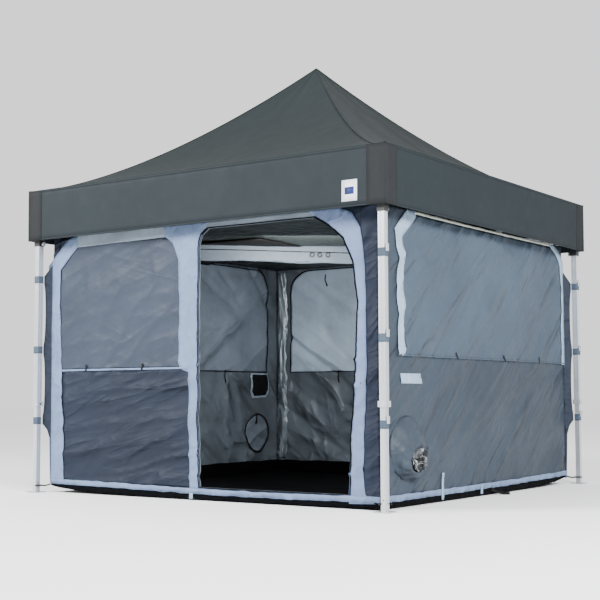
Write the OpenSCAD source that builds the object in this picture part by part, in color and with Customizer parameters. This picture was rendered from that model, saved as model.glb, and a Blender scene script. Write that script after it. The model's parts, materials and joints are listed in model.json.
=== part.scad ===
// Pop-up canopy on four telescoping legs, with an inner tent strapped to the legs.
// Every side of the frame is the front side turned about the centre line.

/* [Part] */
// Sub-part to show, or all of them

/* [Canopy] */
// Outside width of the cover, mm
canopy_width = 3040; // [3030:2:3050]
// Height of the roof peak, mm
peak_height = 3193; // [3190:1:3230]
// Height of the eave, mm
eave_height = 2176; // [2174:1:2180]
// Depth of the valance, mm
valance_depth = 365; // [340:5:365]

/* [Frame] */
// Distance between leg centres, mm
leg_spacing = 2920; // [2916:2:2920]
// Height between the pins of a truss, mm
truss_depth = 280; // [276:2:280]
// Height of a scissor bar's section, mm
bar_height = 24; // [20:1:24]
// Diameter of the frame pins, mm
pin_diameter = 6; // [5:0.5:6]
// Diameter of the holes in the foot plates, mm
foot_hole = 10; // [8:1:12]

/* [Tent] */
// Outside width of the inner tent, mm
tent_width = 2763; // [2740:1:2763]
// Width of the doorway, mm
door_width = 1170; // [900:10:1180]
// Diameter of the round port in the right wall, mm
port_diameter = 310; // [240:10:310]

/* [Hidden] */
$fn = 48;
leg = leg_spacing / 2;
edge = canopy_width / 2;
upper_pin = eave_height - 36;
lower_pin = upper_pin - truss_depth;
pin_r = pin_diameter / 2;
bore_r = pin_r + 0.1;
bar_thick = 12;
bar_wall = 1.5;
bar_side = 7;
hub_pin = 45;
middle_pin = leg - 35;
corner_pin = leg - 45;
leg_width = 42;
inner_width = 36;
wall = tent_width / 2;
wall_top = lower_pin - 15;
sill = 85;
door_top = 1790;
port_along = 1080;
port_z = 360;
aluminium = [0.8, 0.8, 0.79];
black_plastic = [0.08, 0.08, 0.09];
grey_plastic = [0.6, 0.6, 0.6];
cover_fabric = [0.3, 0.34, 0.37];
wall_fabric = [0.36, 0.4, 0.46];
floor_fabric = [0.1, 0.11, 0.12];

// Turns the front side or its right-hand corner to side k
module at_side(k) {
  rotate([0, 0, 90 * k]) children();
}

// A box from its two opposite corners
module box(low, high) {
  translate(low) cube(high - low);
}

// Round rod along Y from y0 to y1
module rod_y(x, z, y0, y1, r) {
  translate([x, y0, z]) rotate([-90, 0, 0]) cylinder(r = r, h = y1 - y0);
}

// Round rod along X from x0 to x1
module rod_x(y, z, x0, x1, r) {
  translate([x0, y, z]) rotate([0, 90, 0]) cylinder(r = r, h = x1 - x0);
}

// Side profile of a bar: a strip with round ends
module strip(length, height) {
  hull() {
    circle(d = height);
    translate([length, 0]) circle(d = height);
  }
}

// Rectangular tube with round, open ends, its middle plane in XZ, from p to q, bored at its pins
module tube_bar(p, q, middle_bore) {
  length = norm(q - p);
  turn = atan2(q[1] - p[1], q[0] - p[0]);
  inside = bar_height - 2 * bar_wall;
  translate([p[0], 0, p[1]]) rotate([0, -turn, 0]) difference() {
    rotate([90, 0, 0]) linear_extrude(bar_thick, center = true) strip(length, bar_height);
    box([-bar_height, bar_wall - bar_thick / 2, -inside / 2],
        [length + bar_height, bar_thick / 2 - bar_wall, inside / 2]);
    rod_y(0, 0, -bar_thick, bar_thick, bore_r);
    rod_y(length, 0, -bar_thick, bar_thick, bore_r);
    if (middle_bore) rod_y(length / 2, 0, -bar_thick, bar_thick, bore_r);
  }
}

// Centre bar of the front truss: falling from the upper hub, or rising from the lower hub
module centre_bar(falling) {
  z_in = falling ? upper_pin : lower_pin;
  z_out = falling ? lower_pin : upper_pin;
  side = falling ? -bar_side : bar_side;
  rotate([0, 0, -90]) translate([0, side, 0]) {
    tube_bar([hub_pin, z_in], [middle_pin, z_out], !falling);
    if (falling)
      rod_y((hub_pin + middle_pin) / 2, (upper_pin + lower_pin) / 2, -bar_thick / 2, 22, pin_r);
  }
}

// Edge bar of the front side, half 1 or -1: to the slider (outer) or to the leg top (inner)
module edge_bar(half, to_slider) {
  z_in = to_slider ? upper_pin : lower_pin;
  z_out = to_slider ? lower_pin : upper_pin;
  y = to_slider ? -leg - bar_side : -leg + bar_side;
  translate([0, y, 0]) {
    tube_bar([half * 35, z_in], [half * corner_pin, z_out], !to_slider);
    if (to_slider)
      rod_y(half * (35 + corner_pin) / 2, (upper_pin + lower_pin) / 2, -bar_thick / 2, 22, pin_r);
  }
}

// Two cheeks and a pin along Y, reaching from x0 to beyond the pin at x1, round a bar centred on y
module clevis(x0, x1, y, z) {
  far = x1 + (x1 > x0 ? 12 : -12);
  lo = min(x0, far);
  hi = max(x0, far);
  for (s = [-1, 1]) {
    a = y + s * (bar_thick / 2 + 2);
    b = a + s * 4;
    box([lo, min(a, b), z - 13], [hi, max(a, b), z + 13]);
  }
  rod_y(x1, z, y - bar_thick / 2 - 4, y + bar_thick / 2 + 4, pin_r);
}

// Centre hub: block with four clevises; the upper one has the sleeve of the peak pole
module hub_block(z, upper) {
  difference() {
    union() {
      box([-28, -28, z - 18], [28, 28, z + 18]);
      if (upper > 0) translate([0, 0, z]) cylinder(r = 21, h = 60);
      for (k = [0:3]) rotate([0, 0, 90 * k - 90]) clevis(26, hub_pin, -upper * bar_side, z);
    }
    if (upper > 0) translate([0, 0, z - 30]) cylinder(r = 14.6, h = 120);
  }
}

// Pole that holds the roof peak up, with its cone cap
module peak_pole_shape() {
  top = peak_height - 38;
  difference() {
    translate([0, 0, lower_pin + 25]) cylinder(r = 14, h = top - lower_pin - 25);
    translate([0, 0, lower_pin + 20]) cylinder(r = 12.4, h = top);
  }
  translate([0, 0, top]) cylinder(r1 = 22, r2 = 5, h = 26);
}

// Hub in the middle of the front side: one clevis inward and one to each half
module middle_hub(z, upper) {
  inward = upper ? bar_side : -bar_side;
  along = upper ? -leg - bar_side : -leg + bar_side;
  box([-20, -leg - 20, z - 18], [20, 20 - leg, z + 18]);
  rotate([0, 0, -90]) clevis(leg - 18, middle_pin, inward, z);
  clevis(18, 35, along, z);
  clevis(-18, -35, along, z);
}

// Fluted square section of the outer leg
module leg_section() {
  difference() {
    square(leg_width, center = true);
    square(leg_width - 3.6, center = true);
    for (k = [0:3], s = [-11, 0, 11]) rotate(90 * k)
      translate([s - 2.5, leg_width / 2 - 0.8]) square([5, 2]);
  }
}

// Outer leg with its top bracket, cap and lower collar
module outer_leg() {
  x = leg;
  translate([x, -x, 612]) linear_extrude(upper_pin + 12 - 612) leg_section();
  difference() {
    box([x - 25, -x - 25, upper_pin - 26], [x + 25, 25 - x, upper_pin + 18]);
    box([x - 21, -x - 21, upper_pin - 30], [x + 21, 21 - x, upper_pin + 12]);
  }
  clevis(x - 24, corner_pin, -leg + bar_side, upper_pin);
  translate([x, -x, 0]) rotate([0, 0, 90]) clevis(24, 45, bar_side, upper_pin);
  difference() {
    box([x - 28, -x - 28, 613], [x + 28, 28 - x, 648]);
    box([x - 21, -x - 21, 600], [x + 21, 21 - x, 660]);
    rod_y(x, 630, -x + 20, -x + 40, 6.3);
  }
}

// Inner leg with its foot plate
module inner_leg() {
  x = leg;
  difference() {
    translate([x, -x, 4]) linear_extrude(1096) difference() {
      square(inner_width, center = true);
      square(inner_width - 3.2, center = true);
    }
    rod_y(x, 70, -x - 30, -x + 30, 4);
  }
  difference() {
    box([x - 50, -x - 50, 0], [x + 50, 50 - x, 4]);
    for (u = [-38, 38], v = [-38, 38]) translate([x + u, -x + v, -1])
      cylinder(d = foot_hole, h = 6);
  }
}

// Sliding bracket that carries the lower bar ends and the pull pin
module slider() {
  x = leg;
  difference() {
    union() {
      box([x - 26, -x - 26, lower_pin - 85], [x + 26, 26 - x, lower_pin + 40]);
      rod_y(x, lower_pin - 70, -x + 25, -x + 36, 9);
    }
    box([x - 21.6, -x - 21.6, lower_pin - 90], [x + 21.6, 21.6 - x, lower_pin + 50]);
    rod_y(x, lower_pin - 70, -x + 15, -x + 40, 3.3);
  }
  clevis(x - 25, corner_pin, -leg - bar_side, lower_pin);
  translate([x, -x, 0]) rotate([0, 0, 90]) clevis(25, 45, -bar_side, lower_pin);
}

// Spring pin with a round knob, pulled to let the slider go
module pull_pin() {
  x = leg;
  rod_y(x, lower_pin - 70, -x + 22.2, -x + 40, 3);
  rod_y(x, lower_pin - 70, -x + 38, -x + 50, 14);
}

// Button in the collar that lets the inner leg slide
module height_button() {
  rod_y(leg, 630, -leg + 24, -leg + 32, 6);
}

// Height of the roof above its eave at the share s of the way out
function roof_rise(s) = (peak_height - eave_height) * pow(1 - s, 1.5);

// Point i of the square ring at the share s, dropped by d
function ring_point(s, i, n, d) =
  let (side = floor(i / n), u = 2 * (i % n) / n - 1, w = s * edge, a = 90 * side)
  [w * (u * cos(a) + sin(a)), w * (u * sin(a) - cos(a)), eave_height + roof_rise(s) - d];

// Curved roof of four gores and the straight valance below it
module canopy_shape() {
  n = 12;
  m = 14;
  ring = 4 * n;
  shares = [for (j = [1:m]) pow(j / m, 1.3)];
  points = concat(
    [[0, 0, peak_height], [0, 0, peak_height - 3]],
    [for (d = [0, 3], s = shares, i = [0:ring - 1]) ring_point(s, i, n, d)]);
  function at(d, j, i) = 2 + (d * m + j) * ring + (i % ring);
  faces = concat(
    [for (i = [0:ring - 1]) [0, at(0, 0, i + 1), at(0, 0, i)]],
    [for (i = [0:ring - 1]) [1, at(1, 0, i), at(1, 0, i + 1)]],
    [for (j = [0:m - 2], i = [0:ring - 1]) each [
      [at(0, j, i), at(0, j, i + 1), at(0, j + 1, i + 1)],
      [at(0, j, i), at(0, j + 1, i + 1), at(0, j + 1, i)],
      [at(1, j, i), at(1, j + 1, i + 1), at(1, j, i + 1)],
      [at(1, j, i), at(1, j + 1, i), at(1, j + 1, i + 1)]]],
    [for (i = [0:ring - 1]) each [
      [at(0, m - 1, i), at(0, m - 1, i + 1), at(1, m - 1, i + 1)],
      [at(0, m - 1, i), at(1, m - 1, i + 1), at(1, m - 1, i)]]]);
  polyhedron(points, faces);
  for (k = [0:3]) at_side(k)
    box([-edge, -edge, eave_height - valance_depth], [edge - 3, 3 - edge, eave_height - 3]);
}

// One closed wall
module plain_wall() {
  box([-wall, -wall, 0], [wall - 3, 3 - wall, wall_top]);
}

// Front wall with the doorway
module door_wall() {
  difference() {
    plain_wall();
    box([0, -wall - 5, sill], [door_width, 10 - wall, door_top]);
  }
}

// Side wall with the round port and its sleeve
module port_wall() {
  difference() {
    plain_wall();
    rod_y(-port_along, port_z, -wall - 10, 10 - wall, port_diameter / 2);
  }
  translate([-port_along, -wall, port_z]) rotate([90, 0, 0]) difference() {
    cylinder(r1 = port_diameter / 2 + 6, r2 = port_diameter / 2 - 20, h = 110);
    translate([0, 0, -1]) cylinder(r1 = port_diameter / 2, r2 = port_diameter / 2 - 26, h = 112);
  }
}

// Four sewn walls
module tent_walls_shape() {
  door_wall();
  at_side(1) port_wall();
  at_side(2) plain_wall();
  at_side(3) plain_wall();
}

// Sewn ceiling panel below the frame
module tent_ceiling_shape() {
  box([3 - wall, 3 - wall, wall_top - 19], [wall - 3, wall - 3, wall_top - 16]);
}

// Sewn floor
module tent_floor_shape() {
  box([3 - wall, 3 - wall, 0], [wall - 3, wall - 3, 4]);
}

// Gusset from the tent corner to the leg, with the three straps round the leg
module corner_wing() {
  d = (leg - 24 - wall) * sqrt(2);
  translate([wall, -wall, 0]) rotate([0, 0, -45]) rotate([90, 0, 0])
    linear_extrude(3, center = true) polygon([
      [0, 60], [d, 485], [d, 535], [d * 0.6, 640], [d * 0.6, 900], [d, 995], [d, 1045],
      [d * 0.6, 1150], [d * 0.6, 1410], [d, 1505], [d, 1555], [0, 1640]]);
  for (z = [510, 1020, 1530]) difference() {
    box([leg - 25, -leg - 25, z - 25], [leg + 25, 25 - leg, z + 25]);
    box([leg - 23, -leg - 23, z - 26], [leg + 23, 23 - leg, z + 26]);
  }
}

module upper_hub() color(black_plastic) hub_block(upper_pin, 1);
module lower_hub() color(black_plastic) hub_block(lower_pin, -1);
module peak_pole() color(aluminium) peak_pole_shape();
module front_centre_bar_falling() color(aluminium) at_side(0) centre_bar(true);
module front_centre_bar_rising() color(aluminium) at_side(0) centre_bar(false);
module front_lower_middle_hub() color(black_plastic) at_side(0) middle_hub(lower_pin, false);
module front_upper_middle_hub() color(black_plastic) at_side(0) middle_hub(upper_pin, true);
module right_centre_bar_falling() color(aluminium) at_side(1) centre_bar(true);
module right_centre_bar_rising() color(aluminium) at_side(1) centre_bar(false);
module right_lower_middle_hub() color(black_plastic) at_side(1) middle_hub(lower_pin, false);
module right_upper_middle_hub() color(black_plastic) at_side(1) middle_hub(upper_pin, true);
module back_centre_bar_falling() color(aluminium) at_side(2) centre_bar(true);
module back_centre_bar_rising() color(aluminium) at_side(2) centre_bar(false);
module back_lower_middle_hub() color(black_plastic) at_side(2) middle_hub(lower_pin, false);
module back_upper_middle_hub() color(black_plastic) at_side(2) middle_hub(upper_pin, true);
module left_centre_bar_falling() color(aluminium) at_side(3) centre_bar(true);
module left_centre_bar_rising() color(aluminium) at_side(3) centre_bar(false);
module left_lower_middle_hub() color(black_plastic) at_side(3) middle_hub(lower_pin, false);
module left_upper_middle_hub() color(black_plastic) at_side(3) middle_hub(upper_pin, true);
module front_edge_bar_to_right_slider() color(aluminium) at_side(0) edge_bar(1, true);
module front_edge_bar_to_right_leg_top() color(aluminium) at_side(0) edge_bar(1, false);
module front_edge_bar_to_left_slider() color(aluminium) at_side(0) edge_bar(-1, true);
module front_edge_bar_to_left_leg_top() color(aluminium) at_side(0) edge_bar(-1, false);
module right_edge_bar_to_back_slider() color(aluminium) at_side(1) edge_bar(1, true);
module right_edge_bar_to_back_leg_top() color(aluminium) at_side(1) edge_bar(1, false);
module right_edge_bar_to_front_slider() color(aluminium) at_side(1) edge_bar(-1, true);
module right_edge_bar_to_front_leg_top() color(aluminium) at_side(1) edge_bar(-1, false);
module back_edge_bar_to_left_slider() color(aluminium) at_side(2) edge_bar(1, true);
module back_edge_bar_to_left_leg_top() color(aluminium) at_side(2) edge_bar(1, false);
module back_edge_bar_to_right_slider() color(aluminium) at_side(2) edge_bar(-1, true);
module back_edge_bar_to_right_leg_top() color(aluminium) at_side(2) edge_bar(-1, false);
module left_edge_bar_to_front_slider() color(aluminium) at_side(3) edge_bar(1, true);
module left_edge_bar_to_front_leg_top() color(aluminium) at_side(3) edge_bar(1, false);
module left_edge_bar_to_back_slider() color(aluminium) at_side(3) edge_bar(-1, true);
module left_edge_bar_to_back_leg_top() color(aluminium) at_side(3) edge_bar(-1, false);
module front_right_outer_leg() color(aluminium) at_side(0) outer_leg();
module front_right_inner_leg() color(aluminium) at_side(0) inner_leg();
module front_right_slider() color(black_plastic) at_side(0) slider();
module front_right_pull_pin() color(grey_plastic) at_side(0) pull_pin();
module front_right_height_button() color(black_plastic) at_side(0) height_button();
module back_right_outer_leg() color(aluminium) at_side(1) outer_leg();
module back_right_inner_leg() color(aluminium) at_side(1) inner_leg();
module back_right_slider() color(black_plastic) at_side(1) slider();
module back_right_pull_pin() color(grey_plastic) at_side(1) pull_pin();
module back_right_height_button() color(black_plastic) at_side(1) height_button();
module back_left_outer_leg() color(aluminium) at_side(2) outer_leg();
module back_left_inner_leg() color(aluminium) at_side(2) inner_leg();
module back_left_slider() color(black_plastic) at_side(2) slider();
module back_left_pull_pin() color(grey_plastic) at_side(2) pull_pin();
module back_left_height_button() color(black_plastic) at_side(2) height_button();
module front_left_outer_leg() color(aluminium) at_side(3) outer_leg();
module front_left_inner_leg() color(aluminium) at_side(3) inner_leg();
module front_left_slider() color(black_plastic) at_side(3) slider();
module front_left_pull_pin() color(grey_plastic) at_side(3) pull_pin();
module front_left_height_button() color(black_plastic) at_side(3) height_button();
module canopy_cover() color(cover_fabric) canopy_shape();
module tent_walls() color(wall_fabric) tent_walls_shape();
module tent_ceiling() color(wall_fabric) tent_ceiling_shape();
module tent_floor() color(floor_fabric) tent_floor_shape();
module corner_wings() color(floor_fabric) for (k = [0:3]) at_side(k) corner_wing();

upper_hub();
lower_hub();
peak_pole();
front_centre_bar_falling();
front_centre_bar_rising();
front_lower_middle_hub();
front_upper_middle_hub();
right_centre_bar_falling();
right_centre_bar_rising();
right_lower_middle_hub();
right_upper_middle_hub();
back_centre_bar_falling();
back_centre_bar_rising();
back_lower_middle_hub();
back_upper_middle_hub();
left_centre_bar_falling();
left_centre_bar_rising();
left_lower_middle_hub();
left_upper_middle_hub();
front_edge_bar_to_right_slider();
front_edge_bar_to_right_leg_top();
front_edge_bar_to_left_slider();
front_edge_bar_to_left_leg_top();
right_edge_bar_to_back_slider();
right_edge_bar_to_back_leg_top();
right_edge_bar_to_front_slider();
right_edge_bar_to_front_leg_top();
back_edge_bar_to_left_slider();
back_edge_bar_to_left_leg_top();
back_edge_bar_to_right_slider();
back_edge_bar_to_right_leg_top();
left_edge_bar_to_front_slider();
left_edge_bar_to_front_leg_top();
left_edge_bar_to_back_slider();
left_edge_bar_to_back_leg_top();
front_right_outer_leg();
front_right_inner_leg();
front_right_slider();
front_right_pull_pin();
front_right_height_button();
back_right_outer_leg();
back_right_inner_leg();
back_right_slider();
back_right_pull_pin();
back_right_height_button();
back_left_outer_leg();
back_left_inner_leg();
back_left_slider();
back_left_pull_pin();
back_left_height_button();
front_left_outer_leg();
front_left_inner_leg();
front_left_slider();
front_left_pull_pin();
front_left_height_button();
canopy_cover();
tent_walls();
tent_ceiling();
tent_floor();
corner_wings();
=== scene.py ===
import json
import math
import bpy
import bmesh
from mathutils import Matrix, Vector, noise
from mathutils.geometry import delaunay_2d_cdt

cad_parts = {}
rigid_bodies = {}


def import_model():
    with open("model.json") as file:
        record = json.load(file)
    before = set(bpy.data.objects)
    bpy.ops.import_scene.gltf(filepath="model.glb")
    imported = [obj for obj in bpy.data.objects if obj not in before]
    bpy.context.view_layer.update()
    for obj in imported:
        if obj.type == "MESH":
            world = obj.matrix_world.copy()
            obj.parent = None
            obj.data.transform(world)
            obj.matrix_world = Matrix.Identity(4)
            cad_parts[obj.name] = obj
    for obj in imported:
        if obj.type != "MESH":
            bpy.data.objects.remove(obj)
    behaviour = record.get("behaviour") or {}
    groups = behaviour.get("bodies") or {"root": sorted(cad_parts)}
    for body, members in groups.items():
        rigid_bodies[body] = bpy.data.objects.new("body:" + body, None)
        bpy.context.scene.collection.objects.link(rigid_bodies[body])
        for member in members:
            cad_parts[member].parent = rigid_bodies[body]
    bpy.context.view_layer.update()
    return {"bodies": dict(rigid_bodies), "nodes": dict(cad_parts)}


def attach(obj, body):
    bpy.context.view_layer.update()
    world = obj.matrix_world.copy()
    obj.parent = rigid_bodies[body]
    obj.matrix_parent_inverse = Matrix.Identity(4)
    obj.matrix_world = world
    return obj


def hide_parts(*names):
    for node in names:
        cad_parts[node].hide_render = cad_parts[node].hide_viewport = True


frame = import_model()
bodies = frame["bodies"]
nodes = frame["nodes"]
ROOT = "frame_centre"

# Sizes in metres. Each side and corner is built as the front or front right one and turned by k quarter turns.
WALL = 1.3815  # centre to the outside of a tent wall
ROOM = 1.37  # centre to the edge of the tent's floor and ceiling
LEG = 1.46  # centre to a leg's axis
EDGE = 1.52  # centre to the edge of the roof
EAVE = 2.176
PEAK = 3.193
VALANCE_FOOT = 1.811
CEILING = 1.8275
SEAM = 0.9  # height of the seam between the upper and the lower cloth
CLOTH = 0.0012  # thickness
CORNERS = ["front_right", "back_right", "back_left", "front_left"]
SIDES = ["front", "right", "back", "left"]
CORNER_SIGNS = [(1, -1), (1, 1), (-1, 1), (-1, -1)]

# How far each layer stands out of the wall cloth; the lining side is negative
PANEL = 0.0050
TRIM = 0.0092
OVER_TRIM = 0.0125
LINING = -0.009
ON_LINING = -0.0150
LINING_TRIM = -0.0190

# Camera at the photograph's viewing angle
cam = bpy.data.objects.new("camera", bpy.data.cameras.new("camera"))
bpy.context.scene.collection.objects.link(cam)
turn = Matrix.Rotation(math.radians(34.92), 4, "Z") @ Matrix.Rotation(math.radians(94.51), 4, "X")
turn = turn @ Matrix.Rotation(math.radians(-0.19), 4, "Z")
cam.matrix_world = Matrix.Translation((5.231, -7.724, 0.670)) @ turn
cam.data.lens = 74.17
cam.data.sensor_width = 36
cam.data.clip_end = 200
bpy.context.scene.camera = cam


# Materials
def linear(rgb):
    return [((c / 255 + 0.055) / 1.055) ** 2.4 if c > 10 else c / 255 / 12.92 for c in rgb] + [1.0]


def new_material(name):
    m = bpy.data.materials.new(name)
    m.use_nodes = True
    tree = m.node_tree
    return m, tree, tree.nodes["Principled BSDF"]


def add(tree, kind, **inputs):
    n = tree.nodes.new(kind)
    for key, value in inputs.items():
        n.inputs[key.replace("_", " ")].default_value = value
    return n


def noise_at(tree, source, scale, stretch=(1, 1, 1), detail=3.0, rough=0.5, turned=(0, 0, 0)):
    """Noise drawn out by 1 / stretch along its own axes, which are turned by the given degrees."""
    mapping = tree.nodes.new("ShaderNodeMapping")
    mapping.vector_type = "TEXTURE"
    mapping.inputs["Scale"].default_value = [1 / a for a in stretch]
    mapping.inputs["Rotation"].default_value = [math.radians(a) for a in turned]
    tree.links.new(source.outputs["Object"], mapping.inputs["Vector"])
    n = add(tree, "ShaderNodeTexNoise", Scale=scale, Detail=detail, Roughness=rough)
    tree.links.new(mapping.outputs["Vector"], n.inputs["Vector"])
    return n


def surface(name, rgb, rough=0.7, metal=0.0, spread=0.1, scale=3.0, bumps=(), spec=0.2, drawn=(1, 1, 1)):
    """A procedural finish: colour varied by noise drawn out along z, uneven roughness, bumps and creases."""
    m, tree, shader = new_material(name)
    at = tree.nodes.new("ShaderNodeTexCoord")
    tone = noise_at(tree, at, scale, drawn, detail=5.0, rough=0.6)
    ramp = tree.nodes.new("ShaderNodeValToRGB")
    low = linear([c * (1 - spread) for c in rgb])
    high = linear([min(255, c * (1 + spread)) for c in rgb])
    ramp.color_ramp.elements[0].position = 0.3
    ramp.color_ramp.elements[0].color = low
    ramp.color_ramp.elements[1].position = 0.7
    ramp.color_ramp.elements[1].color = high
    tree.links.new(tone.outputs["Fac"], ramp.inputs["Fac"])
    tree.links.new(ramp.outputs["Color"], shader.inputs["Base Color"])
    grain = noise_at(tree, at, scale * 9)
    level = add(tree, "ShaderNodeMapRange", To_Min=rough - 0.08, To_Max=min(1.0, rough + 0.08))
    tree.links.new(grain.outputs["Fac"], level.inputs["Value"])
    tree.links.new(level.outputs["Result"], shader.inputs["Roughness"])
    shader.inputs["Metallic"].default_value = metal
    shader.inputs["Specular IOR Level"].default_value = spec
    last = None
    for size, stretch, depth, *more in bumps:
        tex = noise_at(tree, at, size, stretch, detail=4.0, turned=more[0] if more else (0, 0, 0))
        if more:
            tex.noise_type = "RIDGED_MULTIFRACTAL"
            tex.inputs["Detail"].default_value = 2.5
            tex.inputs["Offset"].default_value = 0.9
            tex.inputs["Gain"].default_value = 1.5
            tex.inputs["Distortion"].default_value = 0.35
        bump = add(tree, "ShaderNodeBump", Strength=1.0, Distance=depth)
        tree.links.new(tex.outputs["Fac"], bump.inputs["Height"])
        if last:
            tree.links.new(last.outputs["Normal"], bump.inputs["Normal"])
        last = bump
    if last:
        tree.links.new(last.outputs["Normal"], shader.inputs["Normal"])
    return m


# Bumps are (scale, stretch, depth), and creases (scale, stretch, depth, turn in degrees)
WEAVE = (900.0, (1, 1, 1), 0.0003)
SOFT = (4.0, (1, 1, 0.6), 0.020)
LEVEL = (3.4, (1, 1, 0.20), 0.026, (0, 82, 0))
LEVEL_FINE = (9.0, (1, 1, 0.25), 0.009, (0, 74, 0))
RISING = (6.0, (1, 1, 0.18), 0.0045, (0, 68, 0))
FALLING = (5.0, (1, 1, 0.2), 0.0025, (0, -74, 0))
STEEP = (4.5, (1, 1, 0.2), 0.034, (0, 46, 0))
SLANT = (3.0, (1, 1, 0.16), 0.028, (-52, 0, 0))
SLANT_FINE = (8.0, (1, 1, 0.20), 0.009, (-47, 0, 0))
BACK = (3.0, (1, 1, 0.16), 0.026, (0, -52, 0))
BACK_FINE = (8.0, (1, 1, 0.20), 0.008, (0, -47, 0))
FINE = (8.0, (1, 1, 0.6), 0.008, (20, 30, 10))
roof_cloth = surface(
    "roof cloth", (21, 29, 31), 0.72, spread=0.05, scale=1.2, bumps=[WEAVE, (2.2, (1, 1, 1), 0.015)],
)
valance_cloth = surface(
    "valance cloth", (22, 30, 34), 0.7, spread=0.05, scale=1.5, bumps=[WEAVE, (3.0, (1, 1, 0.5), 0.008)],
)
patch_cloth = surface(
    "patch cloth", (24, 27, 29), 0.75, spread=0.06, scale=6, bumps=[WEAVE, (8.0, (1, 1, 1), 0.004)],
)
wall_cloth = surface(
    "wall cloth", (21, 29, 43), 0.6, spread=0.07, scale=2.5, bumps=[WEAVE, SOFT, LEVEL, LEVEL_FINE],
)
corner_cloth = surface(
    "corner cloth", (24, 32, 48), 0.62, spread=0.08, scale=3.5, bumps=[WEAVE, SOFT, STEEP, LEVEL_FINE],
)
window_cloth = surface(
    "window cloth", (46, 54, 67), 0.5, spread=0.06, scale=2.5, bumps=[WEAVE, SOFT, RISING, FALLING],
)
side_cloth = surface(
    "side cloth", (58, 70, 83), 0.5, spread=0.08, scale=1.6, bumps=[WEAVE, SOFT, SLANT, SLANT_FINE],
)
back_cloth = surface(
    "back cloth", (58, 70, 83), 0.5, spread=0.08, scale=1.6, bumps=[WEAVE, SOFT, BACK, BACK_FINE],
)
side_low = surface(
    "side cloth low", (46, 55, 65), 0.5, spread=0.10, scale=1.8, bumps=[WEAVE, SOFT, SLANT, SLANT_FINE],
)
back_low = surface(
    "back cloth low", (46, 55, 65), 0.5, spread=0.10, scale=1.8, bumps=[WEAVE, SOFT, BACK, BACK_FINE],
)
trim_cloth = surface(
    "trim cloth", (102, 120, 150), 0.6, spread=0.06, scale=5, bumps=[WEAVE, (12.0, (1, 1, 0.6), 0.010), FINE],
)
side_trim_cloth = surface(
    "side trim cloth", (132, 152, 172), 0.6, spread=0.06, scale=5,
    bumps=[WEAVE, (12.0, (1, 1, 0.6), 0.010), FINE],
)
band_cloth = surface(
    "band cloth", (116, 128, 140), 0.6, spread=0.06, scale=5, bumps=[WEAVE, (12.0, (1, 1, 0.6), 0.010)],
)
cream_cloth = surface(
    "cream cloth", (176, 182, 172), 0.6, spread=0.05, scale=6, bumps=[WEAVE, (12.0, (1, 1, 1), 0.006)],
)
pale_cloth = surface(
    "pale cloth", (98, 114, 145), 0.6, spread=0.05, scale=5, bumps=[WEAVE, (12.0, (1, 1, 0.6), 0.008), FINE],
)
lining_cloth = surface(
    "lining cloth", (110, 120, 131), 0.45, metal=0.15, spread=0.14, scale=2.0,
    bumps=[WEAVE, SOFT, (2.6, (1, 1, 0.18), 0.030, (-62, 0, 0))], spec=0.3,
)
lining_low = surface(
    "lining cloth low", (87, 95, 103), 0.45, metal=0.15, spread=0.18, scale=2.0,
    bumps=[WEAVE, SOFT, (3.0, (1, 1, 0.16), 0.045, (38, -38, 0))], spec=0.3,
)
lining_light = surface(
    "lining cloth light", (162, 179, 195), 0.45, metal=0.15, spread=0.12, scale=2.0,
    bumps=[WEAVE, SOFT, (2.6, (1, 1, 0.15), 0.034, (0, -56, 0))], spec=0.3,
)
header_cloth = surface(
    "header cloth", (82, 91, 100), 0.6, spread=0.05, scale=3, bumps=[WEAVE, (9.0, (1, 1, 1), 0.006)],
)
ceiling_cloth = surface("ceiling cloth", (40, 45, 44), 0.5, spread=0.08, scale=3, bumps=[WEAVE, SOFT, FINE])
floor_cloth = surface(
    "floor cloth", (5, 5, 6), 0.92, spec=0.05, spread=0.25, scale=3, bumps=[WEAVE, (6.0, (1, 1, 1), 0.02)],
)
skirt_cloth = surface(
    "skirt cloth", (6, 7, 10), 0.9, spec=0.05, spread=0.2, scale=6,
    bumps=[WEAVE, (9.0, (1, 1, 1), 0.015), FINE],
)
wing_cloth = surface(
    "wing cloth", (33, 40, 52), 0.7, spread=0.1, scale=5,
    bumps=[WEAVE, (12.0, (1, 1, 1), 0.010), (6.0, (1, 1, 0.2), 0.012, (60, 60, 0))],
)
strap_cloth = surface(
    "strap cloth", (62, 74, 88), 0.7, spread=0.1, scale=9, bumps=[(500.0, (1, 1, 0.2), 0.0006)],
)
# Crumpled corner lining: the pale colour and the pale vertical streaks are painted highlights and glints
lining_highlight_strip = surface(
    "lining highlight strip", (118, 128, 136), 0.35, metal=0.3, spread=0.35, scale=12, drawn=(1, 1, 0.15),
    bumps=[WEAVE, (9.0, (1, 1, 0.18), 0.035, (0, 0, 0))], spec=0.5,
)
mesh_cloth = surface("mesh cloth", (9, 9, 10), 0.8, spread=0.3, scale=60, bumps=[(700.0, (1, 1, 1), 0.001)])
# Silver lining: the strong dark and bright vertical streaks in its colour are painted glints and painted shade
# on the crumples
silver_glint_cloth = surface(
    "silver cloth", (74, 76, 78), 0.3, metal=0.5, spread=0.85, scale=26, drawn=(1, 1, 0.25),
    bumps=[(16.0, (1, 1, 0.3), 0.05, (0, 0, 0)), (40.0, (1, 1, 0.4), 0.006)], spec=0.5,
)
aluminium = surface(
    "aluminium", (198, 201, 207), 0.34, metal=0.75, spread=0.10, scale=70, drawn=(1, 1, 0.004),
    bumps=[(110.0, (1, 1, 0.003), 0.0016)], spec=0.5,
)
black_plastic = surface(
    "black plastic", (18, 18, 20), 0.5, spread=0.2, scale=30, bumps=[(500.0, (1, 1, 1), 0.0003)], spec=0.5,
)
grey_plastic = surface(
    "grey plastic", (150, 152, 156), 0.45, spread=0.05, scale=30, bumps=[(400.0, (1, 1, 1), 0.0003)], spec=0.5,
)
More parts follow.
